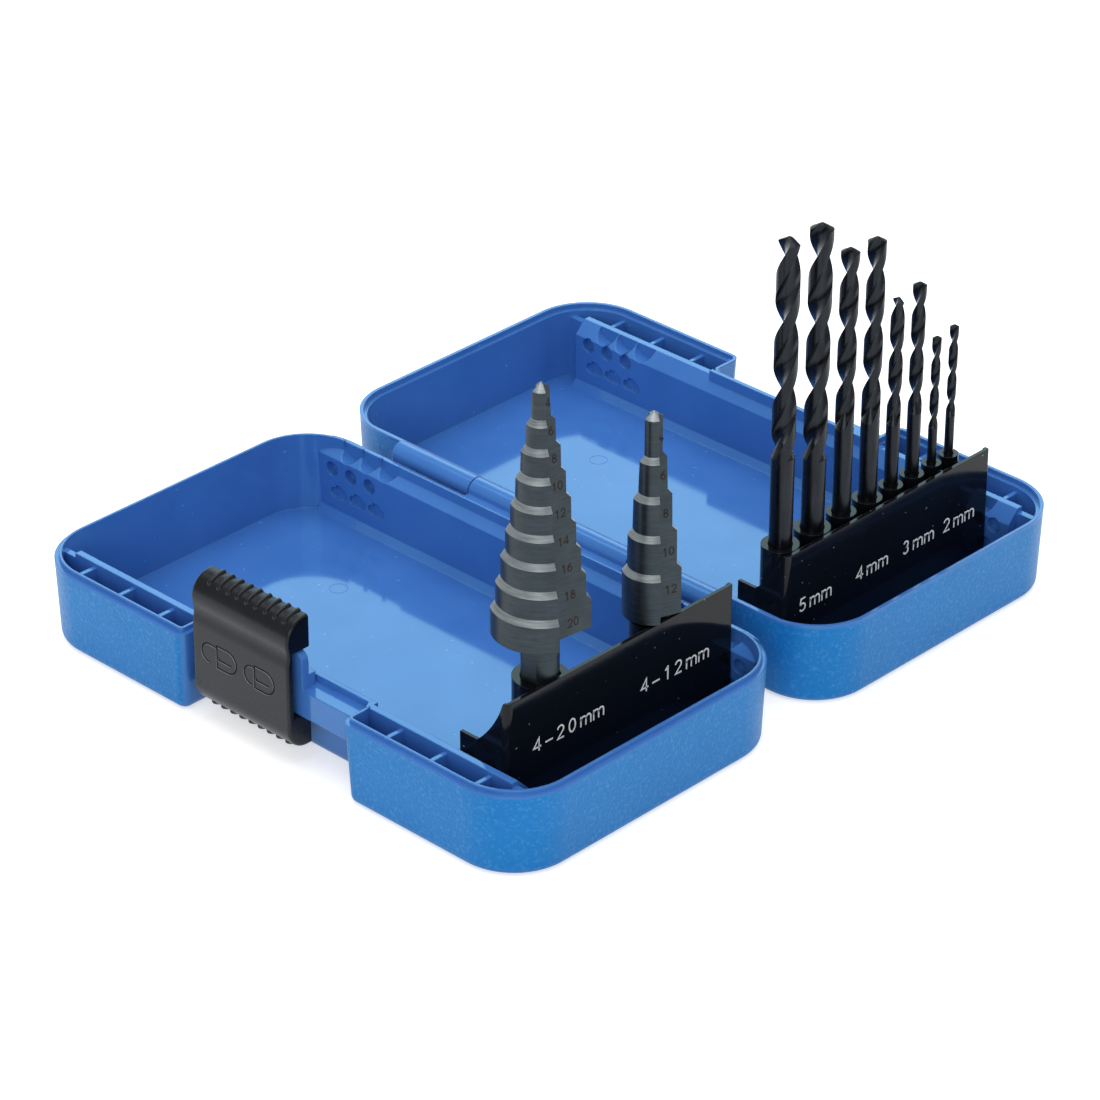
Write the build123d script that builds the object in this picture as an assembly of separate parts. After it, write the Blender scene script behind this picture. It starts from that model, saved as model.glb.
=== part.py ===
from build123d import *
import math
import os

# Drill bit case: two moulded half shells on a common hinge, opened flat, a slider
# latch, and two fold-up racks that hold twist drills and step drills.
# X runs along the hinge, Y from the base (-Y) to the lid (+Y), Z up from the table.
# The origin is on the table under the middle of the hinge. Lengths are in mm.

# Case shells
case_length = 144.6          # outside, along the hinge, at the rim
case_width = 82.0            # outside of one half, across the hinge, at the rim
half_height = 19.4           # table to the parting plane, which holds the hinge axis
hinge_gap = 7.7              # between the outsides of the two halves
corner_radius = 14.5         # outside corner, at the rim
wall_draft = 2.3             # degrees
wall_thickness = 1.65        # outer walls
floor_thickness = 1.6
bottom_edge_radius = 1.8
parting_clearance = 0.3      # left between the two rims when the case is shut
lip_step = 0.5               # half the height of the lap joint between the rims
lip_width = 0.85             # outer lip of the lid
base_step_width = 1.05       # outer strip of the base's rim, which is the lower one
lid_rim_drop = 0.7           # the lid's rim stops this much lower than the base's
lid_ledge_drop = 1.25        # the lid's lip down to the ledge inside it
floor_cove = 1.5             # sloping foot of the thick walls

# Inner walls, measured outward from the hinge axis
hinge_wall_face = 7.85       # inside face of the thick wall by the hinge
latch_wall_face = 74.3       # inside face of the thick wall by the latch
block_half_length = 64.5     # the thick walls end here, measured from the middle
hinge_ledge_drop = 1.3       # rim down to the ledge on the hinge wall
hinge_ledge_slope = 2.1      # height of the sloping shoulder on the hinge wall
latch_wall_bevel = 2.9       # sloping shoulder on the latch wall
latch_wall_bevel_depth = 3.0
lid_block_drop = 1.5         # the lid's latch wall stops this far below its lip
inner_wall_top_width = 1.6
low_wall_drop = 1.1          # the thin ends of the latch wall stop below the rim
rib_thickness = 1.1
rib_drop = 1.0               # ribs stop below the rim
rib_start = 33.8             # first rib, measured from the middle
rib_pitch = 12.3
rib_count = 3

# Latch recess and rail
recess_length = 47.0
recess_corner_radius = 2.4   # inside corners
recess_edge_radius = 2.2     # outside corners
recess_end_wall = 1.7
recess_back = 2.3            # thickness of the wall behind the rail
rail_bottom = 11.4           # of the base
lid_rail_bottom = 12.4
rail_top = 17.6
rail_depth = 5.2
rail_lip_width = 0.6
rail_root = 0.5              # how far the rail runs into the wall behind it
post_end_gap = 0.5           # between the post and the end of the recess
post_length = 31.4           # tall plate on the base rail that the open latch stands on
post_thickness = 1.8
post_corner_radius = 2.6
stop_length = 2.2            # small lug behind the end of the post
stop_depth = 1.8
stop_height = 3.2            # above the rail
lid_rail_length = 13.0

# Hinge
knuckle_radius = 2.65
outer_knuckle_end = 46.8
knuckle_joint = 23.3         # where the base knuckle meets the lid knuckles
knuckle_gap = 0.35
hinge_pin_radius = 1.2
pin_running_clearance = 0.06
pin_end_wall = 1.6
pin_end_gap = 0.2
hinge_strip_margin = 0.55    # flat strip by the hinge that is level, measured into the wall

# Pivot holes and decorative recesses in the thick walls
pivot_x = 54.6
pivot_height = 13.0
pivot_hole_pitch = 5.85
pivot_pin_radius = 1.65
pivot_hole_clearance = 0.08
pivot_hole_depth = 1.9
pivot_pin_length = 2.2
scallop_radius = 2.8
scallop_shift = 4.2          # scallops sit nearer the middle than the holes
scallop_drop = 0.15          # lowest point, below the foot of the shoulder
slot_drop = 5.6              # below the pivot holes
slot_shift = 2.0             # slots sit nearer the middle than the holes
slot_width = 5.0
slot_height = 2.4
slot_depth = 0.8
slot_notch_width = 2.0       # raised middle of the slot's upper edge
slot_notch_height = 0.7

# Racks
rack_gap = 0.35              # between a rack and the walls at its ends
plate_face = 58.5            # outside of the label plate
plate_thickness = 0.9
plate_corner_radius = 1.5    # upright corner of the plate at its -Y end
plate_far_radius = 0.4       # and at its +Y end
end_wall_top = 1.2           # level top of the end wall behind the plate
sweep_across = 0.33          # where the end wall's sweep bends, as shares of its run
sweep_up = 0.47
rack_end_bevel = 2.3         # the underside is bevelled at both ends of the rack
pivot_pin_root = 1.0
trough_wall_x = 45.4         # outside of the low trough wall
trough_top = 20.9
trough_wall = 0.8
rack_floor_clearance = 0.4   # under the rack as it swings
end_wall_flat = 4.7          # level part of the end wall before it sweeps up
socket_top = 31.0
socket_web = 1.2
socket_web_drop = 1.2        # webs stop below the socket tops
base_plate_top = 32.1
lid_plate_top = 31.3

# Slider latch
latch_length = 28.6
latch_left = -21.0
latch_outer = 85.0           # outside face, from the hinge axis
latch_depth = 6.0
latch_web = 1.3
latch_arm_clearance = 0.3    # above the post and below the rail
latch_arm_height = 7.4
latch_round = 5.0
latch_edge_radius = 0.65
latch_dip_depth = 0.4        # shallow hollow across the face, below the upper lip
latch_dip_width = 6.0
grip_count = 9
grip_first = 3.9             # first rib, from the left end of the latch
grip_pitch = 2.75
grip_radius = 0.7
grip_height = 0.5            # how far a grip rib stands out
grip_start = 53.0            # degrees round the lip from the latch's face

# Drills
bit_clearance = 0.12         # radial, in a socket
twist_axis_x = 53.0
# Each twist drill: diameter, distance from the hinge, overall length, fluted length,
# flute pitch, direction of the flutes at the point, height of its seat in the socket,
# outside radius of the socket
twist_bits = {
    "twist_drill_5mm_a": dict(
        size=5.0, y=12.5, length=86.0, fluted=50.4, pitch=30.1, turn=2.0,
        seat=15.8, socket=4.1
    ),
    "twist_drill_5mm_b": dict(
        size=5.0, y=22.5, length=86.0, fluted=54.1, pitch=30.1, turn=43.0,
        seat=15.4, socket=4.0
    ),
    "twist_drill_4mm_a": dict(
        size=4.0, y=31.7, length=75.0, fluted=42.0, pitch=25.3, turn=34.0,
        seat=17.6, socket=3.3
    ),
    "twist_drill_4mm_b": dict(
        size=4.0, y=40.1, length=75.0, fluted=43.0, pitch=25.3, turn=58.0,
        seat=17.1, socket=3.3
    ),
    "twist_drill_3mm_a": dict(
        size=3.0, y=47.7, length=61.0, fluted=30.0, pitch=20.7, turn=-14.0,
        seat=14.4, socket=2.7
    ),
    "twist_drill_3mm_b": dict(
        size=3.0, y=54.6, length=61.0, fluted=31.0, pitch=20.7, turn=42.0,
        seat=15.5, socket=2.7
    ),
    "twist_drill_2mm_a": dict(
        size=2.0, y=61.1, length=49.4, fluted=22.0, pitch=14.6, turn=70.0,
        seat=12.0, socket=2.2
    ),
    "twist_drill_2mm_b": dict(
        size=2.0, y=66.8, length=49.0, fluted=22.0, pitch=14.5, turn=50.0,
        seat=13.0, socket=2.2
    ),
}
# Each step drill: smallest and largest diameter, place of its axis, underside of the
# largest step, length of the largest step, of each middle step and of the pilot,
# shank radius, height of its seat in the socket, outside radius of the socket, the two
# sides of its flute (the directions they face, how far the wall is from the axis, how
# steeply the numbered face leans, and the height at which that face meets the axis)
step_bits = {
    "step_drill_4_20": dict(
        low=4.0, high=20.0, x=53.55, y=59.5, under=41.6, first=7.1, pitch=5.76, pilot=7.0,
        shank=4.0, seat=16.0, socket=5.8, wall_azimuth=64.0, wall_offset=0.3,
        face_azimuth=-7.5, face_lean=0.104, face_top=96.4
    ),
    "step_drill_4_12": dict(
        low=4.0, high=12.0, x=54.1, y=28.0, under=32.5, first=11.1, pitch=8.35, pilot=9.25,
        shank=3.0, seat=14.0, socket=4.6, wall_azimuth=53.0, wall_offset=0.8,
        face_azimuth=-18.5, face_lean=0.09, face_top=69.7
    ),
}
step_size = 2.0
step_chamfer = 1.2
step_tip_angle = 102.0
step_face_offset = 0.1       # the numbered face never comes nearer the axis
step_overlap = 0.5           # how far each section runs into the one below
shank_flat = 0.4             # depth of the three flats on a step drill's shank
shank_flat_azimuth = -84.0
twist_point_angle = 118.0
twist_core_share = 0.26      # core of a twist drill as a share of its diameter
twist_flute_share = 0.74     # flute depth as a share of the drill's radius
twist_flute_stretch = 1.45   # flutes are this much wider than they are deep
twist_run_out = 1.3          # the flutes fade into the shank over this many diameters
twist_overlap = 0.2          # shank into the fluted part
point_blunt = 0.01           # radius left at the very tip of a cone
cut_margin = 1.0             # cutters reach this far past the surface

# Worked out from the sizes above
outer_edge = hinge_gap / 2 + case_width
half_length = case_length / 2
rim_level = half_height - parting_clearance / 2
raised_level = rim_level + lip_step
lowered_level = half_height - (raised_level - half_height) - parting_clearance
lid_lip_level = raised_level - lid_rim_drop
lid_ledge_level = lid_lip_level - lid_ledge_drop
# Levels along the rim of each half: its outer and inner strips, the strip by the hinge
# and the top of the thick wall by the latch
base_levels = dict(
    outer=lowered_level, inner=raised_level, strip=rim_level, block=rim_level
)
lid_levels = dict(
    outer=lid_lip_level, inner=lid_ledge_level, strip=lid_lip_level,
    block=lid_lip_level - lid_block_drop
)
hinge_strip_inner = hinge_gap / 2 + wall_thickness - hinge_strip_margin
rack_low = hinge_wall_face + rack_gap
rack_high = latch_wall_face - rack_gap
rack_swing = pivot_height - floor_thickness - rack_floor_clearance
block_top_edge = latch_wall_face + latch_wall_bevel
block_outer = block_top_edge + inner_wall_top_width
recess_wall = latch_wall_face + recess_back
rail_face = recess_wall + rail_depth
rail_half = (recess_length + recess_end_wall) / 2
post_top = 2 * half_height - lid_rail_bottom
pivot_holes = [pivot_x + pivot_hole_pitch * step for step in (-1, 0, 1)]
latch_under = post_top + latch_arm_clearance
latch_over = rail_bottom - latch_arm_clearance
latch_top = latch_under + latch_arm_height
latch_low = latch_over - latch_arm_height


def box(x0, x1, y0, y1, z0, z1):
    """A box from its two ends along each axis."""
    size = (x1 - x0, y1 - y0, z1 - z0)
    centre = ((x0 + x1) / 2, (y0 + y1) / 2, (z0 + z1) / 2)
    return Pos(*centre) * Box(*size)


def rod_x(radius, x0, x1, y, z):
    """A cylinder along X."""
    return Pos((x0 + x1) / 2, y, z) * Rot(0, 90, 0) * Cylinder(radius, x1 - x0)


def rod_y(radius, y0, y1, x, z):
    """A cylinder along Y."""
    return Pos(x, (y0 + y1) / 2, z) * Rot(90, 0, 0) * Cylinder(radius, y1 - y0)


def rod_z(radius, z0, z1, x, y):
    """A cylinder along Z."""
    return Pos(x, y, (z0 + z1) / 2) * Cylinder(radius, z1 - z0)


def prism_x(points, x0, x1):
    """A closed outline of (y, z) points, run along X."""
    wire = Polyline(*[(0, y, z) for y, z in points], close=True)
    return Pos(x0, 0, 0) * extrude(make_face(wire), amount=x1 - x0, dir=(1, 0, 0))


def drafted_block(inset, z0, z1):
    """The outside of one half, drawn in by inset all round, from z0 up to z1."""
    sections = []
    for z in (z0, z1):
        shrink = inset + (half_height - z) * math.tan(math.radians(wall_draft))
        outline = RectangleRounded(
            case_length - 2 * shrink, case_width - 2 * shrink, corner_radius - shrink
        )
        sections.append(Pos(0, outer_edge - case_width / 2, z) * outline)
    return loft(sections, ruled=True)


def recess_outline(grow, depth_from, drop=0):
    """The plan of the latch recess, grown into its walls by grow, drop below the rim."""
    spread = drop * math.tan(math.radians(wall_draft))
    half = recess_length / 2 + grow + spread
    inner = depth_from - grow - spread
    flare = recess_edge_radius - grow
    corner = recess_corner_radius + grow
    outer = outer_edge - grow - spread
    beyond = outer_edge + cut_margin
    start = Line((-half - flare, beyond), (-half - flare, outer))
    left_out = RadiusArc((-half - flare, outer), (-half, outer - flare), flare)
    left = Line((-half, outer - flare), (-half, inner + corner))
    left_in = RadiusArc((-half, inner + corner), (-half + corner, inner), -corner)
    back = Line((-half + corner, inner), (half - corner, inner))
    right_in = RadiusArc((half - corner, inner), (half, inner + corner), -corner)
    right = Line((half, inner + corner), (half, outer - flare))
    right_out = RadiusArc((half, outer - flare), (half + flare, outer), flare)
    end = Line((half + flare, outer), (half + flare, beyond))
    top = Line((half + flare, beyond), (-half - flare, beyond))
    edges = [start, left_out, left, left_in, back, right_in, right, right_out, end, top]
    return make_face(Curve() + edges)


def recess_opening():
    """The room of the latch recess, which widens a little towards the table."""
    low = recess_outline(0, recess_wall, half_height + cut_margin)
    high = recess_outline(0, recess_wall, -cut_margin)
    sections = [Pos(0, 0, -cut_margin) * low, Pos(0, 0, half_height + cut_margin) * high]
    return loft(sections, ruled=True)


def outer_shell(top):
    """The tray of one half with its floor and outer wall, before the rim is stepped."""
    inside = drafted_block(wall_thickness, floor_thickness, top + cut_margin)
    return drafted_block(0, 0, top) - inside


def outside(top):
    """The outside of one half with its recess, rounded where it meets the table."""
    body = drafted_block(0, 0, top) - recess_opening()
    return fillet(body.edges().group_by(Axis.Z)[0], bottom_edge_radius)


def recess_walls(top):
    """The end walls of the pockets beside the latch recess."""
    reach = recess_outline(recess_end_wall, recess_wall + recess_end_wall)
    block = extrude(reach, amount=top - floor_thickness)
    block = Pos(0, 0, floor_thickness) * block
    low = box(-half_length, half_length, recess_wall, outer_edge, 0, top)
    return block & low & drafted_block(0, 0, top)


def hinge_block(rim):
    """The thick wall along the hinge, with its sloping shoulder and foot."""
    back = hinge_gap / 2 + wall_thickness / 2
    ledge = rim - hinge_ledge_drop
    outline = [
        (back, floor_thickness / 2),
        (hinge_wall_face + floor_cove, floor_thickness / 2),
        (hinge_wall_face + floor_cove, floor_thickness),
        (hinge_wall_face, floor_thickness + floor_cove),
        (hinge_wall_face, ledge - hinge_ledge_slope),
        (hinge_strip_inner, ledge),
        (back, ledge),
    ]
    return prism_x(outline, -block_half_length, block_half_length)


def latch_block(top):
    """The thick wall along the latch side, with its sloping shoulder and foot."""
    outline = [
        (latch_wall_face - floor_cove, floor_thickness / 2),
        (block_outer, floor_thickness / 2),
        (block_outer, top),
        (block_top_edge, top),
        (latch_wall_face, top - latch_wall_bevel_depth),
        (latch_wall_face, floor_thickness + floor_cove),
        (latch_wall_face - floor_cove, floor_thickness),
    ]
    return prism_x(outline, -block_half_length, block_half_length)


def wall_blocks(levels):
    """The thick walls along the hinge and the latch side, and the pocket ribs."""
    joined = hinge_block(levels["strip"]) + latch_block(levels["block"])
    joined = joined + box(
        -half_length,
        half_length,
        block_outer - inner_wall_top_width,
        block_outer,
        floor_thickness / 2,
        levels["block"] - low_wall_drop,
    )
    for side in (-1, 1):
        for number in range(rib_count):
            x = side * (rib_start + rib_pitch * number)
            joined = joined + box(
                x - rib_thickness / 2,
                x + rib_thickness / 2,
                block_outer - inner_wall_top_width / 2,
                outer_edge - wall_thickness / 2,
                floor_thickness / 2,
                levels["block"] - rib_drop,
            )
    return joined & drafted_block(wall_thickness / 2, 0, raised_level)


def wall_slot(x, low, high):
    """A shallow slot below a pivot hole, with rounded ends and a notched upper edge."""
    end = slot_height / 2
    z = pivot_height - slot_drop
    reach = slot_width / 2 - end
    notch = slot_notch_width / 2
    slot = box(x - reach, x + reach, low, high, z - end, z + end)
    slot = slot + rod_y(end, low, high, x - reach, z) + rod_y(end, low, high, x + reach, z)
    return slot + box(x - notch, x + notch, low, high, z, z + end + slot_notch_height)


def wall_recesses(levels):
    """Pivot holes, scallops and slots at both ends of both thick walls."""
    cuts = []
    radius = pivot_pin_radius + pivot_hole_clearance
    hinge_foot = levels["strip"] - hinge_ledge_drop - hinge_ledge_slope
    latch_foot = levels["block"] - latch_wall_bevel_depth
    hinge_side = (hinge_wall_face, -1, hinge_foot, hinge_strip_inner)
    latch_side = (latch_wall_face, 1, latch_foot, block_top_edge)
    for face, into, foot, back in (hinge_side, latch_side):
        hole = sorted((face - into, face + pivot_hole_depth * into))
        scallop = sorted((face - into, back))
        slot = sorted((face - into, face + slot_depth * into))
        scallop_z = foot + scallop_radius - scallop_drop
        for side in (-1, 1):
            for place in pivot_holes:
                x = side * place
                scallop_x = side * (place - scallop_shift)
                cuts.append(rod_y(radius, *hole, x, pivot_height))
                cuts.append(rod_y(scallop_radius, *scallop, scallop_x, scallop_z))
                cuts.append(wall_slot(side * (place - slot_shift), *slot))
    return cuts


def knuckle(x0, x1, rim):
    """One hinge knuckle with the web that carries it, on the +Y side of the axis."""
    barrel = rod_x(knuckle_radius, x0, x1, 0, half_height)
    reach = hinge_gap / 2 + wall_thickness / 2
    web = box(x0, x1, 0, reach, half_height - knuckle_radius, rim)
    return barrel + web


def rim_cut(levels):
    """What comes off the rim so that the two halves lap over each other."""
    outer, inner = levels["outer"], levels["inner"]
    beyond = max(outer, inner) + cut_margin
    strip = lip_width if outer > inner else base_step_width
    inside = drafted_block(strip, min(outer, inner), beyond)
    inside = inside - extrude(recess_outline(strip, recess_wall), amount=beyond)
    if outer > inner:
        lap = inside
    else:
        lap = drafted_block(-cut_margin, outer, beyond) - inside
    lap = lap - box(-half_length, half_length, 0, hinge_strip_inner, 0, beyond)
    return lap + box(-half_length, half_length, 0, hinge_strip_inner, levels["strip"], beyond)


def half_shell(levels):
    """What both halves share, on the +Y side of the hinge."""
    top = max(levels["outer"], levels["inner"])
    body = outer_shell(top) + recess_walls(top) - rim_cut(levels)
    body = (body + wall_blocks(levels)) & outside(top)
    for cut in wall_recesses(levels):
        body = body - cut
    return body


def pin_bore():
    """Clearance hole for the hinge pin through the knuckles."""
    end = outer_knuckle_end - pin_end_wall
    return rod_x(hinge_pin_radius + pin_running_clearance, -end, end, 0, half_height)


def rail_lip(bottom, top):
    """The thin lip behind the rail, along the whole recess."""
    front = recess_wall + rail_lip_width
    return box(-rail_half, rail_half, recess_wall - rail_root, front, bottom, top)


def rail(x0, x1, bottom):
    """A stretch of the rail that the latch arms slide along."""
    return box(x0, x1, recess_wall - rail_root, rail_face, bottom, rail_top)


def post():
    """The tall plate on the base rail, with the small lug behind its end."""
    left = -recess_length / 2 + post_end_gap
    right = left + post_length
    middle = (rail_bottom + rail_top) / 2
    back = rail_face - post_thickness
    tall = box(left, right, back, rail_face, middle, post_top)
    tall = fillet(tall.edges().filter_by(Axis.Y).group_by(Axis.Z)[-1], post_corner_radius)
    lug_top = rail_top + stop_height
    return tall + box(right - stop_length, right, back - stop_depth, back, middle, lug_top)


def base_shell():
    """The front half: full rail, tall post for the open latch, middle knuckle."""
    body = half_shell(base_levels) + rail(-rail_half, rail_half, rail_bottom)
    body = body + rail_lip(rail_bottom, base_levels["strip"])
    inner = knuckle_joint - knuckle_gap / 2
    body = body + post() + knuckle(-inner, inner, base_levels["strip"])
    return mirror(body - pin_bore(), about=Plane.XZ)


def lid_shell():
    """The rear half: short rail for the shut latch, two outer knuckles."""
    body = half_shell(lid_levels) + rail_lip(lid_rail_bottom, lid_levels["strip"])
    body = body + rail(rail_half - lid_rail_length, rail_half, lid_rail_bottom)
    inner = knuckle_joint + knuckle_gap / 2
    for x0, x1 in ((inner, outer_knuckle_end), (-outer_knuckle_end, -inner)):
        body = body + knuckle(x0, x1, lid_levels["strip"])
    return body - pin_bore()


def hinge_pin():
    """The steel pin through the knuckles."""
    end = outer_knuckle_end - pin_end_wall - pin_end_gap
    return rod_x(hinge_pin_radius, -end, end, 0, half_height)


def rack_envelope(inset):
    """The most a rack may fill: a bevelled rod round the pivot, and the room above it."""
    radius = rack_swing - inset
    low = rack_low + inset
    high = rack_high - inset
    bevel = rack_end_bevel - inset * (2 - math.sqrt(2))
    rod = rod_y(radius, low, high, pivot_x, pivot_height)
    rod = chamfer(rod.edges().filter_by(GeomType.CIRCLE), bevel)
    reach = pivot_x - trough_wall_x + cut_margin
    top = base_plate_top + cut_margin
    return rod + box(pivot_x - reach, pivot_x + reach, low, high, pivot_height, top)


def rack_under():
    """The curved underside of a rack, in X and Z, swept round below the pivot."""
    across_wall = trough_wall_x - pivot_x
    across_face = plate_face - pivot_x
    wall_z = pivot_height - math.sqrt(rack_swing**2 - across_wall**2)
    face_z = pivot_height - math.sqrt(rack_swing**2 - across_face**2)
    bottom = (pivot_x, 0, pivot_height - rack_swing)
    return ThreePointArc((trough_wall_x, 0, wall_z), bottom, (plate_face, 0, face_z))


def rack_side(plate_top):
    """The outline of a rack's end wall, in X and Z."""
    under = rack_under()
    low_end = under @ 0
    face_end = under @ 1
    inner_x = trough_wall_x + end_wall_flat
    sweep_x = plate_face - end_wall_top
    bend_x = sweep_x - (sweep_x - inner_x) * sweep_across
    bend_z = plate_top - (plate_top - trough_top) * sweep_up
    plate_corner = (plate_face, 0, plate_top)
    sweep_top = (sweep_x, 0, plate_top)
    sweep_low = (inner_x, 0, trough_top)
    wall_corner = (trough_wall_x, 0, trough_top)
    edges = [
        under,
        Line(face_end, plate_corner),
        Line(plate_corner, sweep_top),
        ThreePointArc(sweep_top, (bend_x, 0, bend_z), sweep_low),
        Line(sweep_low, wall_corner),
        Line(wall_corner, low_end),
    ]
    return make_face(Curve() + edges)


def rack_hollow(plate_top):
    """The room inside the trough and above it, behind the label plate."""
    plate_x = plate_face - plate_thickness
    above_top = plate_top + cut_margin
    room = box(trough_wall_x + trough_wall, plate_x, rack_low, rack_high, 0, above_top)
    above = box(trough_wall_x, plate_x, rack_low, rack_high, pivot_height, above_top)
    return (room + above) & rack_envelope(trough_wall)


def rack_body(plate_top, corner_radii):
    """Trough, label plate, swept end walls and pivot pins, on the +Y side."""
    body = extrude(rack_side(plate_top), amount=rack_high - rack_low, dir=(0, 1, 0))
    body = Pos(0, rack_low, 0) * body
    for end, radius in zip((0, -1), corner_radii):
        corners = body.edges().filter_by(Axis.Z).group_by(Axis.X)[-1]
        body = fillet(corners.sort_by(Axis.Y)[end], radius)
    body = (body & rack_envelope(0)) - rack_hollow(plate_top)
    low_end = (rack_low - pivot_pin_length, rack_low + pivot_pin_root)
    high_end = (rack_high - pivot_pin_root, rack_high + pivot_pin_length)
    for low, high in (low_end, high_end):
        body = body + rod_y(pivot_pin_radius, low, high, pivot_x, pivot_height)
    return body


def socket(x, y, radius, top):
    """A tube that stands in the trough, joined to the label plate by a web."""
    half = socket_web / 2
    tube = rod_z(radius, 0, top, x, y)
    plate_middle = plate_face - plate_thickness / 2
    web = box(x, plate_middle, y - half, y + half, pivot_height, top - socket_web_drop)
    room = box(trough_wall_x + trough_wall / 2, plate_middle, rack_low, rack_high, 0, top)
    return (tube + web) & room & rack_envelope(trough_wall / 2)


def rack(plate_top, sockets, corner_radii):
    """A whole rack; each socket is x, y, tube radius, seat height and bore radius."""
    body = rack_body(plate_top, corner_radii)
    for x, y, radius, seat, bore in sockets:
        body = body + socket(x, y, radius, socket_top)
    for x, y, radius, seat, bore in sockets:
        body = body - rod_z(bore, seat, plate_top + cut_margin, x, y)
    return body


def base_rack():
    """The rack for the step drills, in the base."""
    sockets = []
    for drill in step_bits.values():
        bore = drill["shank"] + bit_clearance
        sockets.append((drill["x"], drill["y"], drill["socket"], drill["seat"], bore))
    corner_radii = (plate_far_radius, plate_corner_radius)
    return mirror(rack(base_plate_top, sockets, corner_radii), about=Plane.XZ)


def lid_rack():
    """The rack for the twist drills, in the lid."""
    sockets = []
    for drill in twist_bits.values():
        bore = drill["size"] / 2 + bit_clearance
        sockets.append((twist_axis_x, drill["y"], drill["socket"], drill["seat"], bore))
    return rack(lid_plate_top, sockets, (plate_corner_radius, plate_far_radius))


def latch_corner(z, direction):
    """A rounded lip of the latch: start, middle and end of its arc."""
    centre_z = z - direction * latch_round
    centre_v = latch_outer - latch_round
    reach = latch_round * math.sqrt(0.5)
    middle = (0, centre_v + reach, centre_z + direction * reach)
    return ThreePointArc((0, latch_outer, centre_z), middle, (0, centre_v, z))


def latch_dip(high):
    """A shallow hollow across the latch's face, in side view, from high downward."""
    bend = latch_outer - latch_dip_depth / 2
    quarter = latch_dip_width / 4
    low = high - latch_dip_width
    lower = (0, bend, low + quarter)
    upper = (0, bend, high - quarter)
    deepest = (0, latch_outer - latch_dip_depth, (low + high) / 2)
    foot = TangentArc((0, latch_outer, low), lower, tangent=(0, 0, 1))
    head = TangentArc((0, latch_outer, high), upper, tangent=(0, 0, -1))
    return [foot, ThreePointArc(lower, deepest, upper), head]


def latch_side():
    """Side view of the slider latch, drawn at X = 0."""
    inner = latch_outer - latch_depth
    web = latch_outer - latch_web
    top_lip = latch_corner(latch_top, 1)
    low_lip = latch_corner(latch_low, -1)
    dip = latch_dip(latch_top - latch_round)
    edges = [
        Line((0, inner, latch_under), (0, web, latch_under)),
        Line((0, web, latch_under), (0, web, latch_over)),
        Line((0, web, latch_over), (0, inner, latch_over)),
        Line((0, inner, latch_over), (0, inner, latch_low)),
        Line((0, inner, latch_low), low_lip @ 1),
        low_lip,
        Line(low_lip @ 0, dip[0] @ 0),
        *dip,
        top_lip,
        Line(top_lip @ 1, (0, inner, latch_top)),
        Line((0, inner, latch_top), (0, inner, latch_under)),
    ]
    return make_face(Curve() + edges)


def grip_rib(x):
    """One half-round grip rib over the latch's upper lip, from grip_start to its back."""
    centre_v = latch_outer - latch_round
    centre_z = latch_top - latch_round
    reach = latch_round + grip_height - grip_radius
    start = math.radians(grip_start)
    middle = math.radians((grip_start + 90) / 2)
    first = (x, centre_v + reach * math.cos(start), centre_z + reach * math.sin(start))
    bend = (x, centre_v + reach * math.cos(middle), centre_z + reach * math.sin(middle))
    top = (x, centre_v, centre_z + reach)
    back = (x, latch_outer - latch_depth, centre_z + reach)
    path = Curve() + [ThreePointArc(first, bend, top), Line(top, back)]
    plane = Plane(origin=first, z_dir=path.edges()[0] % 0)
    return sweep(plane * Circle(grip_radius), path=path) + Pos(*first) * Sphere(grip_radius)


def latch_slider():
    """The C-shaped latch with grip ribs on its rounded lips."""
    body = extrude(latch_side(), amount=latch_length, dir=(1, 0, 0))
    face_edges = body.edges().filter_by(Axis.Z).group_by(Axis.Y)[-1]
    curved = body.edges().filter_by(GeomType.CIRCLE)
    body = fillet(face_edges + curved, latch_edge_radius)
    middle_z = (latch_top + latch_low) / 2
    for number in range(grip_count):
        rib = grip_rib(grip_first + grip_pitch * number)
        lower = Pos(0, 0, middle_z) * mirror(Pos(0, 0, -middle_z) * rib, about=Plane.XY)
        body = body + rib + lower
    return mirror(Pos(latch_left, 0, 0) * body, about=Plane.XZ)


def twist_section(size):
    """Cross-section of the fluted part of a twist drill."""
    flute = size / 2 * twist_flute_share
    offset = size * twist_core_share / 2 + flute
    section = Circle(size / 2)
    for side in (-1, 1):
        groove = Ellipse(flute * twist_flute_stretch, flute)
        section = section - Pos(0, side * offset) * groove
    return section.face()


def twist_drill(drill):
    """A jobber drill: plain shank, two right-hand helical flutes, coned point."""
    radius = drill["size"] / 2
    length = drill["length"]
    fluted = drill["fluted"]
    start = length - fluted
    reach = radius + cut_margin
    point = reach / math.tan(math.radians(twist_point_angle / 2))
    flutes = Solid.extrude_linear_with_rotation(
        twist_section(drill["size"]),
        center=(0, 0, 0),
        normal=(0, 0, fluted),
        angle=360 * fluted / drill["pitch"],
    )
    cone = Pos(0, 0, length - point / 2) * Cone(reach, point_blunt, point)
    keep = rod_z(reach, 0, length - point, 0, 0)
    turn = drill["turn"] - 360 * fluted / drill["pitch"]
    body = (Pos(0, 0, start) * Rot(0, 0, turn) * flutes) & (keep + cone)
    shank = rod_z(radius, 0, start + twist_overlap, 0, 0)
    run_out = twist_run_out * drill["size"]
    fade = Pos(0, 0, start + run_out / 2) * Cone(radius, point_blunt, run_out)
    return Pos(twist_axis_x, drill["y"], drill["seat"]) * (shank + fade + body)


def step_shank(radius, length):
    """Round shank with three flats."""
    body = rod_z(radius, 0, length + step_overlap, 0, 0)
    across = radius + cut_margin
    for turn in (0, 120, 240):
        flat = box(radius - shank_flat, across, -radius, radius, -cut_margin, length)
        body = body - Rot(0, 0, shank_flat_azimuth + turn) * flat
    return body


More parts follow.
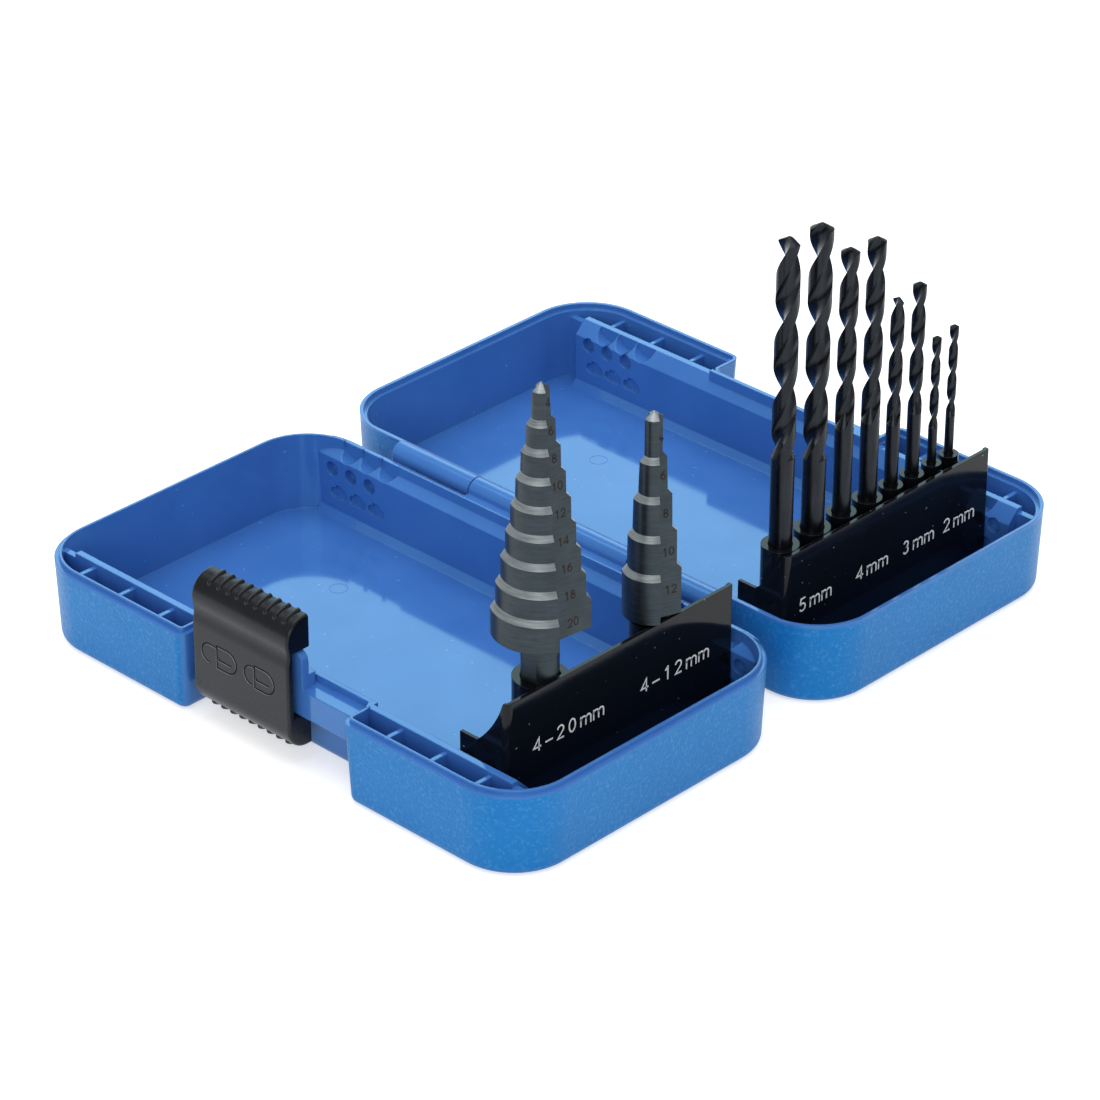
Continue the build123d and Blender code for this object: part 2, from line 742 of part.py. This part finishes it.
def step_flute(drill):
    """One flute: a V between an upright wall and the leaning numbered face."""
    reach = drill["high"]
    seat = drill["seat"]
    low = drill["under"] - seat - cut_margin
    span = 2 * (drill["face_top"] - seat)
    wall = box(drill["wall_offset"], reach, -reach, reach, low, span)
    face = Rot(0, -math.degrees(math.atan(drill["face_lean"])), 0) * box(
        0, reach, -reach, reach, -span, span
    )
    upright = box(step_face_offset, reach, -reach, reach, low, span)
    face = (Pos(0, 0, drill["face_top"] - seat) * face) & upright
    return (Rot(0, 0, drill["wall_azimuth"]) * wall) & (Rot(0, 0, drill["face_azimuth"]) * face)


def step_rises(drill):
    """Radius and height of each step, from the largest to the pilot."""
    count = int(round((drill["high"] - drill["low"]) / step_size)) + 1
    rises = [drill["first"]] + [drill["pitch"]] * (count - 2) + [drill["pilot"]]
    return [(drill["high"] / 2 - n * step_size / 2, rise) for n, rise in enumerate(rises)]


def step_drill(drill):
    """A stepped drill with two straight flutes and a three-flat shank."""
    start = drill["under"] - drill["seat"]
    body = step_shank(drill["shank"], start)
    z = start
    for radius, rise in step_rises(drill):
        top = z + rise
        low = z - step_overlap if z > start else z
        body = body + rod_z(radius, low, top - step_chamfer, 0, 0)
        if radius > drill["low"] / 2:
            shoulder = Cone(radius, radius - step_size / 2, step_chamfer)
            body = body + Pos(0, 0, top - step_chamfer / 2) * shoulder
        else:
            tip = radius / math.tan(math.radians(step_tip_angle / 2))
            point = Cone(radius, point_blunt, tip)
            body = body + Pos(0, 0, top - step_chamfer + tip / 2) * point
        z = top
    flute = step_flute(drill)
    for side in (0, 180):
        body = body - Rot(0, 0, side) * flute
    return Pos(drill["x"], -drill["y"], drill["seat"]) * body


def write(name, shape):
    """Write one sub-part."""
    export_step(shape, f"parts/{name}.step")


def build():
    """Make every sub-part and write it."""
    os.makedirs("parts", exist_ok=True)
    write("base_shell", base_shell())
    write("lid_shell", lid_shell())
    write("hinge_pin", hinge_pin())
    write("step_drill_rack", base_rack())
    write("twist_drill_rack", lid_rack())
    write("latch_slider", latch_slider())
    for name, drill in twist_bits.items():
        write(name, twist_drill(drill))
    for name, drill in step_bits.items():
        write(name, step_drill(drill))


build()
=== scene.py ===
import math
import bmesh
import bpy
from mathutils import Matrix, Vector


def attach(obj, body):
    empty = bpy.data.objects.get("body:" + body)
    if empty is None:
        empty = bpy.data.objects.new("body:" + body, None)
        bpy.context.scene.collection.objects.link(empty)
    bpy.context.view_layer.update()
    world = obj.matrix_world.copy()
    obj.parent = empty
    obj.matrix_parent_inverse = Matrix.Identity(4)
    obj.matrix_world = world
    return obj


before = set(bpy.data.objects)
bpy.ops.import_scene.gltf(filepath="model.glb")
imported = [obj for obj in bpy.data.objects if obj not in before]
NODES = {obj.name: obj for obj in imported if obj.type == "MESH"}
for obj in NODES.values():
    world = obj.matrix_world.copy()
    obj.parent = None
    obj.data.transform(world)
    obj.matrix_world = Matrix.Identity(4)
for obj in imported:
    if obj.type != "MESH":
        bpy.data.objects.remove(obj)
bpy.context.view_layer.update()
MM = 0.001

# Camera, fitted to the photograph's edges: degrees and metres in the part's frame
CAMERA_AZIMUTH = 43.883
CAMERA_ELEVATION = 29.936
CAMERA_ROLL = 0.130
CAMERA_DISTANCE = 1.0310
CAMERA_TARGET = (-0.01662, 0.01609, 0.0)
LENS_PIXELS = 4690.3
PHOTO_PIXELS = 1100

# Sizes repeated from the frame's source, in mm
CASE_HALF_LENGTH = 72.3
CASE_WIDTH = 82.0
HINGE_GAP = 7.7
CORNER_RADIUS = 14.5
HALF_HEIGHT = 19.4
WALL_SLOPE = math.tan(math.radians(2.3))
PLATE_FACE = 58.5
LATCH_FACE = 85.0
FLOOR_LEVEL = 1.6
STEP_FACE_OFFSET = 0.1

# Where the outer finish of a half fades out, in mm: full, then none
WALL_FADE = (0.25, 0.55)
RIM_FADE = (18.2, 18.6)
UNDERSIDE_FADE = (0.3, 0.6)

# Surface marks in mm: height, space between characters and width of a stroke
LABEL_SIZE = 3.3
LABEL_GAP = 1.15
LABEL_STROKE = 0.38
NUMBER_SIZE = 1.9
NUMBER_GAP = 0.4
NUMBER_STROKE = 0.27
MARK_THICKNESS = 0.04

# Padlocks in mm: height of their middle on the latch, half height of the body, radius of the bow
PADLOCK_LEVEL = 17.8
PADLOCK_RADIUS = 2.6
PADLOCK_SHOULDER = 3.2
BOW_RADIUS = 2.15
KEYHOLE_START = 0.5
KEYHOLE_END = 4.2
KEYHOLE_DROP = 0.6
# Padlock lines in mm: a dark strip painted as the shade inside each engraved line, and a light strip
# shifted left and down, painted as the highlight on its edge
GROOVE_WIDTH = 0.34
GROOVE_THICKNESS = 0.05
HIGHLIGHT_WIDTH = 0.26
HIGHLIGHT_THICKNESS = 0.02
HIGHLIGHT_SHIFT = (-0.16, -0.2)

# Mould marks in mm: piece, body and place on the floor
MOULD_MARK_RADIUS = 2.0
MOULD_MARK_STROKE = 0.18
MOULD_MARKS = [
    ("mould_mark_base", "base", -35.9, -29.7),
    ("mould_mark_lid", "lid", -35.2, 51.2),
]

# Surround, floor glow, and lamps: name, place and size in metres, watts, colour
WORLD_LEVEL = 0.6
FLOOR_SIZE = 8.0
FLOOR_GLOW = 0.52
LAMPS = [
    ("lamp_top", (-0.2, 0.1, 1.6), (1.6, 1.6), 16.0, (1.0, 1.0, 1.0)),
    ("lamp_back", (-1.3, 1.35, 1.0), (1.8, 1.0), 11.0, (0.55, 0.92, 1.0)),
    ("lamp_front", (1.2, -1.5, 0.9), (1.2, 1.0), 12.0, (1.0, 1.0, 1.0)),
]


def add_camera():
    """The camera at the photograph's viewing angle."""
    azimuth = math.radians(CAMERA_AZIMUTH)
    elevation = math.radians(CAMERA_ELEVATION)
    roll = math.radians(CAMERA_ROLL)
    back = Vector(
        (
            math.sin(azimuth) * math.cos(elevation),
            -math.cos(azimuth) * math.cos(elevation),
            math.sin(elevation),
        )
    )
    right = (-back).cross(Vector((0, 0, 1))).normalized()
    up = right.cross(-back)
    turned_right = math.cos(roll) * right + math.sin(roll) * up
    turned_up = -math.sin(roll) * right + math.cos(roll) * up
    place = Vector(CAMERA_TARGET) + back * CAMERA_DISTANCE
    data = bpy.data.cameras.new("camera")
    data.sensor_width = 36.0
    data.lens = 36.0 * LENS_PIXELS / PHOTO_PIXELS
    data.clip_start = 0.05
    data.clip_end = 20.0
    camera = bpy.data.objects.new("camera", data)
    matrix = Matrix((turned_right, turned_up, back)).transposed().to_4x4()
    matrix.translation = place
    camera.matrix_world = matrix
    bpy.context.scene.collection.objects.link(camera)
    bpy.context.scene.camera = camera


class Nodes:
    """Short calls for building one material's node tree."""

    def __init__(self, name):
        self.material = bpy.data.materials.new(name)
        self.material.use_nodes = True
        self.tree = self.material.node_tree
        self.shader = self.tree.nodes["Principled BSDF"]

    def add(self, kind, inputs=(), **settings):
        """A node with its settings; inputs are (socket, value or output) pairs."""
        node = self.tree.nodes.new("ShaderNode" + kind)
        for key, value in settings.items():
            setattr(node, key, value)
        for socket, value in inputs:
            self.plug(node.inputs[socket], value)
        return node

    def plug(self, socket, value):
        """Link an output, or set a plain value."""
        if isinstance(value, bpy.types.NodeSocket):
            self.tree.links.new(value, socket)
        else:
            socket.default_value = value

    def math(self, operation, a, b=0.0):
        """One Math node's output."""
        return self.add("Math", [(0, a), (1, b)], operation=operation).outputs[0]

    def place(self):
        """The object's own coordinates, which are the part's frame in metres."""
        return self.add("TexCoord").outputs["Object"]

    def noise(self, scale, detail=3.0, roughness=0.5, stretch=None):
        """Noise at a scale per metre, stretched along the axes where asked."""
        place = self.place()
        if stretch:
            place = self.add("VectorMath", [(0, place), (1, stretch)], operation="MULTIPLY")
            place = place.outputs[0]
        sockets = [("Vector", place), ("Scale", scale), ("Detail", detail), ("Roughness", roughness)]
        return self.add("TexNoise", sockets).outputs["Fac"]

    def ramp(self, value, low, high, low_out=0.0, high_out=1.0):
        """A value mapped from low..high, with its ends held."""
        sockets = [(0, value), (1, low), (2, high), (3, low_out), (4, high_out)]
        return self.add("MapRange", sockets).outputs[0]

    def mix(self, factor, a, b):
        """Two colours mixed."""
        node = self.add("Mix", data_type="RGBA")
        self.plug(node.inputs["Factor"], factor)
        self.plug(node.inputs["A"], a)
        self.plug(node.inputs["B"], b)
        return node.outputs["Result"]

    def bump(self, height, distance, strength=1.0, normal=None):
        """A bump over another normal."""
        node = self.add("Bump", [("Height", height), ("Distance", distance), ("Strength", strength)])
        if normal is not None:
            self.plug(node.inputs["Normal"], normal)
        return node.outputs["Normal"]

    def rounded(self, radius):
        """Edges softened by a small radius."""
        return self.add("Bevel", [("Radius", radius)], samples=6).outputs["Normal"]

    def finish(self, **values):
        """Fill the shader's sockets, with spaces for underscores, and return the material."""
        for key, value in values.items():
            self.plug(self.shader.inputs[key.replace("_", " ")], value)
        return self.material


def rgba(red, green, blue):
    """An sRGB colour, 0 to 255, as the linear colour that Blender takes."""
    out = []
    for channel in (red, green, blue):
        c = channel / 255
        out.append(c / 12.92 if c <= 0.04045 else ((c + 0.055) / 1.055) ** 2.4)
    return (*out, 1.0)


def outside_mask(n, side):
    """1 on the outer walls and underside of one half, 0 inside it; side is -1 for the base."""
    split = n.add("SeparateXYZ", [(0, n.place())])
    x, y, z = split.outputs
    centre = side * (HINGE_GAP + CASE_WIDTH) / 2 * MM
    straight_x = (CASE_HALF_LENGTH - CORNER_RADIUS) * MM
    straight_y = (CASE_WIDTH / 2 - CORNER_RADIUS) * MM
    dx = n.math("SUBTRACT", n.math("ABSOLUTE", x), straight_x)
    dy = n.math("SUBTRACT", n.math("ABSOLUTE", n.math("SUBTRACT", y, centre)), straight_y)
    dx = n.math("MAXIMUM", dx, 0.0)
    dy = n.math("MAXIMUM", dy, 0.0)
    reach = n.math("SQRT", n.math("ADD", n.math("MULTIPLY", dx, dx), n.math("MULTIPLY", dy, dy)))
    drawn_in = n.math("MULTIPLY", n.math("SUBTRACT", HALF_HEIGHT * MM, z), WALL_SLOPE)
    depth = n.math("SUBTRACT", CORNER_RADIUS * MM, n.math("ADD", reach, drawn_in))
    near, below_rim, under = [
        n.ramp(value, fade[1] * MM, fade[0] * MM)
        for value, fade in ((depth, WALL_FADE), (z, RIM_FADE), (z, UNDERSIDE_FADE))
    ]
    walls = n.math("MULTIPLY", near, below_rim)
    return n.math("MAXIMUM", walls, under)


def shell_material(name, side):
    """Blue moulded plastic: glossy inside, finely grained on the outer walls; the inside is painted a
    more violet blue than the outside, as painted shade.
    """
    n = Nodes(name)
    outside = outside_mask(n, side)
    cloud = n.noise(60.0, 3.0)
    grain = n.noise(1500.0, 2.0, 0.6)
    fleck = n.noise(1100.0, 3.0, 0.65)
    dust = n.ramp(n.noise(900.0, 1.0, 0.3), 0.78, 0.82, 0.0, 0.5)
    # Painted shade: the inside takes a more violet blue than the outside, for the look of its shaded
    # walls
    inner = n.mix(n.ramp(cloud, 0.35, 0.65), rgba(60, 111, 186), rgba(66, 117, 192))
    inner = n.mix(dust, inner, rgba(120, 170, 222))
    outer = n.mix(n.ramp(cloud, 0.35, 0.65), rgba(8, 108, 183), rgba(14, 113, 189))
    outer = n.mix(n.ramp(fleck, 0.52, 0.76, 0.0, 0.4), outer, rgba(96, 160, 214))
    colour = n.mix(outside, inner, outer)
    smear = n.noise(28.0, 4.0, 0.6)
    rough = n.add("Mix", data_type="FLOAT")
    n.plug(rough.inputs["Factor"], outside)
    n.plug(rough.inputs["A"], n.ramp(smear, 0.3, 0.7, 0.06, 0.10))
    n.plug(rough.inputs["B"], n.ramp(grain, 0.3, 0.7, 0.36, 0.52))
    painted_highlight = n.rounded(0.4 * MM)
    height = n.math("MULTIPLY", grain, outside)
    grained = n.bump(height, 0.12 * MM, 1.0, painted_highlight)
    ripple = n.bump(n.noise(110.0, 2.0), 0.03 * MM, 0.2, grained)
    return n.finish(
        Base_Color=colour,
        Roughness=rough.outputs["Result"],
        Normal=ripple,
        IOR=1.6,
        Specular_Tint=(0.28, 0.74, 0.84, 1.0),
    )


def rack_material():
    """Near-black glossy plastic with faint ripples and specks of dust."""
    n = Nodes("rack_gloss_black")
    speck = n.noise(1100.0, 1.0, 0.3)
    dust = n.ramp(speck, 0.79, 0.83, 0.0, 0.75)
    colour = n.mix(dust, rgba(13, 16, 21), rgba(150, 158, 166))
    rough = n.ramp(n.noise(90.0, 4.0, 0.6), 0.35, 0.7, 0.06, 0.14)
    normal = n.bump(n.noise(70.0, 2.0), 0.05 * MM, 0.3, n.rounded(0.16 * MM))
    return n.finish(Base_Color=colour, Roughness=rough, Normal=normal, IOR=1.28)


def latch_material():
    """Black satin plastic with a very fine moulded grain, and painted shade: darker towards the top of
    the face, lighter towards the bottom.
    """
    n = Nodes("latch_satin_black")
    cloud = n.noise(120.0, 4.0, 0.6)
    level = n.add("SeparateXYZ", [(0, n.place())]).outputs[2]
    # Painted shade and reflection: dark above 24 mm on the face, lighter below 8 mm
    colour = n.mix(n.ramp(level, 24 * MM, 8 * MM), rgba(5, 5, 7), rgba(34, 35, 39))
    colour = n.mix(n.ramp(cloud, 0.3, 0.7, 0.0, 0.5), colour, rgba(14, 15, 17))
    rough = n.ramp(n.noise(260.0, 4.0, 0.6), 0.3, 0.7, 0.22, 0.32)
    normal = n.bump(n.noise(1800.0, 2.0), 0.02 * MM, 0.4, n.rounded(0.3 * MM))
    return n.finish(
        Base_Color=colour,
        Roughness=rough,
        Normal=normal,
        IOR=1.38,
        Specular_Tint=(0.84, 0.9, 1.0, 1.0),
    )


def oxide_material():
    """Black oxide steel of the twist drills, ground lines and lighter edges."""
    n = Nodes("black_oxide_steel")
    streak = n.noise(900.0, 3.0, 0.6, (1.0, 1.0, 0.12))
    cloud = n.noise(160.0, 4.0, 0.6)
    colour = n.mix(n.ramp(streak, 0.3, 0.7), rgba(30, 33, 37), rgba(44, 47, 52))
    colour = n.mix(n.ramp(cloud, 0.45, 0.75, 0.0, 0.4), colour, rgba(24, 26, 29))
    rough = n.ramp(streak, 0.3, 0.7, 0.22, 0.34)
    normal = n.bump(streak, 0.012 * MM, 0.5, n.rounded(0.08 * MM))
    return n.finish(Base_Color=colour, Metallic=0.85, Roughness=rough, Normal=normal)


def step_material():
    """Dark satin steel with bright ground bands on the chamfers of the steps."""
    n = Nodes("step_drill_steel")
    normal_z = n.add("SeparateXYZ", [(0, n.add("TexCoord").outputs["Normal"])]).outputs[2]
    slope = n.math("ABSOLUTE", normal_z)
    band = n.math("MULTIPLY", n.ramp(slope, 0.4, 0.5), n.ramp(slope, 0.95, 0.9))
    ring = n.noise(1400.0, 3.0, 0.6, (0.15, 0.15, 1.6))
    cloud = n.noise(140.0, 4.0, 0.6)
    dark = n.mix(n.ramp(ring, 0.3, 0.7), rgba(48, 56, 61), rgba(60, 69, 74))
    dark = n.mix(n.ramp(cloud, 0.4, 0.75, 0.0, 0.5), dark, rgba(40, 46, 50))
    bright = n.mix(n.ramp(ring, 0.3, 0.7), rgba(124, 132, 136), rgba(158, 166, 169))
    colour = n.mix(band, dark, bright)
    rough = n.ramp(ring, 0.3, 0.7, 0.28, 0.40)
    normal = n.bump(ring, 0.012 * MM, 0.5, n.rounded(0.1 * MM))
    return n.finish(Base_Color=colour, Metallic=0.85, Roughness=rough, Normal=normal)


def pin_material():
    """Brushed steel of the hinge pin."""
    n = Nodes("pin_brushed_steel")
    streak = n.noise(900.0, 3.0, 0.6, (0.05, 1.0, 1.0))
    colour = n.mix(n.ramp(streak, 0.3, 0.7), rgba(150, 152, 156), rgba(186, 188, 192))
    rough = n.ramp(streak, 0.3, 0.7, 0.25, 0.4)
    return n.finish(Base_Color=colour, Metallic=1.0, Roughness=rough)


def ink_material(name, light, dark, roughness, shine=0.5):
    """Printed or laser-marked ink, slightly uneven; also the painted shade and painted highlight of the
    padlock lines.
    """
    n = Nodes(name)
    colour = n.mix(n.ramp(n.noise(2600.0, 3.0, 0.6), 0.3, 0.7), dark, light)
    return n.finish(Base_Color=colour, Roughness=roughness, Specular_IOR_Level=shine)


def dress(node, material):
    """Give a CAD node its material in every slot."""
    mesh = NODES[node].data
    mesh.materials.clear()
    mesh.materials.append(material)


def link(name, mesh, body, material, matrix):
    """Lay a mesh in its place as a piece that rides on a body and takes its finish from a slot."""
    mesh.transform(matrix)
    mesh.materials.clear()
    mesh.materials.append(material)
    piece = bpy.data.objects.new(name, mesh)
    bpy.context.scene.collection.objects.link(piece)
    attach(piece, body)


def facing(place, across, up):
    """A matrix that lays flat work at a place in mm, given its two directions."""
    across = Vector(across).normalized()
    out = across.cross(Vector(up)).normalized()
    matrix = Matrix((across, out.cross(across), out)).transposed().to_4x4()
    matrix.translation = Vector(place) * MM
    return matrix


def stroke(lines, width, thickness):
    """Flat lines along points in mm, on the XY plane, as one mesh."""
    work = bmesh.new()
    half = width / 2 * MM
    deep = thickness / 2 * MM
    for points in lines:
        flat = [Vector((x * MM, y * MM)) for x, y in points]
        ribs = []
        for number, here in enumerate(flat):
            come = (here - flat[max(number - 1, 0)]).normalized()
            leave = (flat[min(number + 1, len(flat) - 1)] - here).normalized()
            along = (come + leave).normalized()
            turn = max(0.5, along.dot(leave), along.dot(come))
            across = Vector((-along.y, along.x)) * half / turn
            corners = (here + across, here - across)
            low = [work.verts.new((*corner, -deep)) for corner in corners]
            high = [work.verts.new((*corner, deep)) for corner in corners]
            ribs.append((low[0], high[0], high[1], low[1]))
        for first, second in zip(ribs, ribs[1:]):
            for k in range(4):
                after = (k + 1) % 4
                work.faces.new((first[k], first[after], second[after], second[k]))
        work.faces.new(ribs[0][::-1])
        work.faces.new(ribs[-1])
    bmesh.ops.recalc_face_normals(work, faces=work.faces)
    mesh = bpy.data.meshes.new("stroke")
    work.to_mesh(mesh)
    work.free()
    return mesh


def arc(centre, radius, start, end, stretch=1.0, steps=14):
    """Points round an arc, with angles in degrees and its height stretched."""
    points = []
    for k in range(steps + 1):
        angle = math.radians(start + (end - start) * k / steps)
        x = centre[0] + radius * math.cos(angle)
        points.append((x, centre[1] + radius * stretch * math.sin(angle)))
    return points


# Single-stroke characters in mm, at the labels' height: advance, then lines
GLYPHS = {
    "-": (2.2, [[(0.0, 1.15), (2.2, 1.15)]]),
    "0": (2.2, [arc((1.05, 1.65), 0.87, 90, 450, 1.69, 24)]),
    "1": (2.2, [[(0.45, 2.45), (0.85, 2.58), (1.15, 3.1)], [(1.27, 3.28), (1.27, 0.0)]]),
    "2": (2.2, [arc((1.05, 2.25), 0.85, 170, -35) + [(0.22, 0.18), (2.05, 0.18)]]),
    "3": (2.2, [arc((1.0, 2.39), 0.72, 160, -90), arc((1.0, 0.93), 0.76, 90, -160)]),
    "4": (2.2, [[(1.6, 0.0), (1.6, 3.0), (0.1, 0.95), (2.2, 0.95)]]),
    "5": (2.2, [[(1.9, 3.12), (0.55, 3.12), (0.35, 1.7)], arc((1.03, 1.06), 0.88, 140, -150)]),
    "6": (2.2, [arc((1.05, 1.02), 0.84, 90, 450), [(1.7, 3.05), (1.0, 2.65), (0.45, 1.95), (0.2, 1.1)]]),
    "8": (2.2, [arc((1.05, 2.42), 0.68, 90, 450), arc((1.05, 0.94), 0.79, 90, 450)]),
    "m": (
        2.55,
        [
            [(0.18, 0.0), (0.18, 2.4)],
            [(0.18, 1.4), *arc((0.92, 1.52), 0.70, 165, 0), (1.62, 0.0)],
            [(1.62, 1.4), *arc((2.34, 1.52), 0.70, 165, 0), (3.04, 0.0)],
        ],
    ),
}


def lettering(words, height, gap, weight):
    """Words as a stroke mesh centred on its own origin, with sizes in mm."""
    lines = []
    start = 0.0
    for letter in words:
        advance, shapes = GLYPHS[letter]
        for shape in shapes:
            lines.append([(start + x, y) for x, y in shape])
        start += advance + gap
    reach = [x for line in lines for x, _ in line]
    middle = (min(reach) + max(reach)) / 2
    size = height / LABEL_SIZE
    placed = []
    for line in lines:
        placed.append([((x - middle) * size, (y - LABEL_SIZE / 2) * size) for x, y in line])
    return stroke(placed, weight, MARK_THICKNESS)


def add_labels():
    """White size labels on the two rack plates."""
    ink = ink_material("label_white", rgba(250, 251, 252), rgba(240, 243, 246), 0.4)
    labels = [
        ("4-20mm", "step_rack", -56.5, 19.6),
        ("4-12mm", "step_rack", -25.4, 19.6),
        ("5mm", "twist_rack", 17.9, 18.0),
        ("4mm", "twist_rack", 36.0, 18.0),
        ("3mm", "twist_rack", 51.2, 18.0),
        ("2mm", "twist_rack", 64.6, 18.0),
    ]
    for number, (words, body, middle, level) in enumerate(labels):
        mesh = lettering(words, LABEL_SIZE, LABEL_GAP, LABEL_STROKE)
        matrix = facing((PLATE_FACE, middle, level), (0, 1, 0), (0, 0, 1))
        link(f"size_label_{number + 1}", mesh, body, ink, matrix)


def padlock(left, reach, gap):
    """The lines of a padlock lying on its side, in mm; gap is where its bow stops short."""
    low = PADLOCK_LEVEL - PADLOCK_RADIUS
    high = PADLOCK_LEVEL + PADLOCK_RADIUS
    start = (left, PADLOCK_LEVEL)
    end = arc((left + PADLOCK_SHOULDER, PADLOCK_LEVEL), PADLOCK_RADIUS, -90, 90)
    body = [start, (left, low), *end, (left, high), start]
    bow = arc((left - reach, PADLOCK_LEVEL), BOW_RADIUS, 90, 270)
    shackle = [(left, PADLOCK_LEVEL + BOW_RADIUS), *bow, (left - gap, PADLOCK_LEVEL - BOW_RADIUS)]
    key_left = left + KEYHOLE_START
    key_low = PADLOCK_LEVEL - KEYHOLE_DROP
    keyhole = [(key_left, PADLOCK_LEVEL), (key_left, key_low), (left + KEYHOLE_END, key_low)]
    return [body, shackle, keyhole]


def add_pictograms():
    """An open and a closed padlock, lying on their sides, on the face of the latch: each line is a dark
    strip of painted shade with a light strip of painted highlight shifted down and left.
    """
    # Painted shade: the dark strip stands for the shade inside each engraved line
    groove_painted_shade = ink_material("pictogram_groove_painted_shade", rgba(9, 9, 11), rgba(5, 5, 7), 0.6, 0.1)
    # Painted highlight: the light strip, shifted down and left, stands for the light caught on each
    # line's edge
    painted_highlight = ink_material("pictogram_painted_highlight", rgba(118, 120, 126), rgba(84, 86, 92), 0.35)
    for name, left, reach, gap in (("open", -13.6, 2.4, 2.2), ("shut", -2.4, 0.9, 0.9)):
        lines = padlock(left, reach, gap)
        shifted = [[(x + HIGHLIGHT_SHIFT[0], z + HIGHLIGHT_SHIFT[1]) for x, z in line] for line in lines]
        place = facing((0, -LATCH_FACE, 0), (1, 0, 0), (0, 0, 1))
        low = stroke(shifted, HIGHLIGHT_WIDTH, HIGHLIGHT_THICKNESS)
        high = stroke(lines, GROOVE_WIDTH, GROOVE_THICKNESS)
        link(f"padlock_{name}_edge", low, "latch", painted_highlight, place)
        link(f"padlock_{name}_groove", high, "latch", groove_painted_shade, place)


def add_mould_marks():
    """The round mould mark on the floor of each half."""
    ink = ink_material("mould_mark", rgba(44, 100, 182), rgba(36, 90, 172), 0.25)
    for name, body, x, y in MOULD_MARKS:
        circle = arc((0, 0), MOULD_MARK_RADIUS, 0, 360, 1.0, 40)
        ring = stroke([circle], MOULD_MARK_STROKE, MARK_THICKNESS)
        place = facing((x, y, FLOOR_LEVEL), (1, 0, 0), (0, 1, 0))
        link(name, ring, body, ink, place)


# Numbered faces in mm and degrees: first and pitch are a number's place across and up the face
STEP_MARKS = {
    "step_drill_4_20": dict(
        axis=(53.55, -59.5), azimuth=-7.5, lean=0.104, top=96.4,
        sizes=range(20, 3, -2), first=(3.85, 44.2), pitch=(-0.32, 5.93),
    ),
    "step_drill_4_12": dict(
        axis=(54.1, -28.0), azimuth=-18.5, lean=0.09, top=69.7,
        sizes=range(12, 3, -2), first=(2.95, 38.2), pitch=(-0.34, 8.43),
    ),
}


def add_step_marks():
    """Brown laser-marked sizes on the numbered faces of the step drills."""
    ink = ink_material("laser_mark", rgba(44, 29, 20), rgba(28, 19, 13), 0.6, 0.2)
    for drill, marks in STEP_MARKS.items():
        azimuth = math.radians(marks["azimuth"])
        out = Vector((math.cos(azimuth), math.sin(azimuth), 0))
        across = Vector((-math.sin(azimuth), math.cos(azimuth), 0))
        face = Vector((out.x, out.y, marks["lean"])).normalized()
        up = face.cross(across)
        for number, size in enumerate(marks["sizes"]):
            along = marks["first"][0] + number * marks["pitch"][0]
            level = marks["first"][1] + number * marks["pitch"][1]
            depth = max(STEP_FACE_OFFSET, marks["lean"] * (marks["top"] - level))
            axis = Vector((*marks["axis"], level))
            place = axis + out * depth + across * along
            mesh = lettering(str(size), NUMBER_SIZE, NUMBER_GAP, NUMBER_STROKE)
            link(f"{drill}_mark_{size}", mesh, drill, ink, facing(place, across, up))


def add_stage():
    """White floor, soft lamps and a white surround."""
    bpy.ops.mesh.primitive_plane_add(size=FLOOR_SIZE)
    floor = bpy.context.object
    floor.name = "floor"
    n = Nodes("floor_white")
    paths = n.add("LightPath")
    seen = n.math("MAXIMUM", paths.outputs["Is Camera Ray"], paths.outputs["Is Glossy Ray"])
    seen = n.math("MAXIMUM", seen, paths.outputs["Is Transmission Ray"])
    n.finish(Base_Color=(0.8, 0.8, 0.8, 1), Roughness=0.9, Emission_Color=(1, 1, 1, 1))
    n.plug(n.shader.inputs["Emission Strength"], n.math("MULTIPLY", seen, FLOOR_GLOW))
    floor.data.materials.append(n.material)
    world = bpy.data.worlds.new("world")
    world.use_nodes = True
    tree = world.node_tree
    background = tree.nodes["Background"]
    background.inputs[0].default_value = (1, 1, 1, 1)
    ray = tree.nodes.new("ShaderNodeLightPath")
    strength = tree.nodes.new("ShaderNodeMapRange")
    tree.links.new(ray.outputs["Is Camera Ray"], strength.inputs[0])
    strength.inputs[3].default_value = WORLD_LEVEL
    strength.inputs[4].default_value = 1.0
    tree.links.new(strength.outputs[0], background.inputs[1])
    bpy.context.scene.world = world
    for name, place, size, power, tone in LAMPS:
        data = bpy.data.lights.new(name, "AREA")
        data.shape = "RECTANGLE"
        data.size, data.size_y = size
        data.energy = power
        data.color = tone
        lamp = bpy.data.objects.new(name, data)
        lamp.location = place
        lamp.rotation_euler = (Vector((0, 0, 0)) - Vector(place)).to_track_quat("-Z", "Y").to_euler()
        bpy.context.scene.collection.objects.link(lamp)


add_camera()
bpy.context.scene.view_settings.view_transform = "Standard"
add_stage()
dress("base_shell", shell_material("shell_blue_base", -1))
dress("lid_shell", shell_material("shell_blue_lid", 1))
black = rack_material()
dress("step_drill_rack", black)
dress("twist_drill_rack", black)
dress("latch_slider", latch_material())
dress("hinge_pin", pin_material())
steel = step_material()
oxide = oxide_material()
for node in NODES:
    if node.startswith("step_drill_4"):
        dress(node, steel)
    elif node.startswith("twist_drill_") and not node.endswith("rack"):
        dress(node, oxide)
add_labels()
add_step_marks()
add_pictograms()
add_mould_marks()
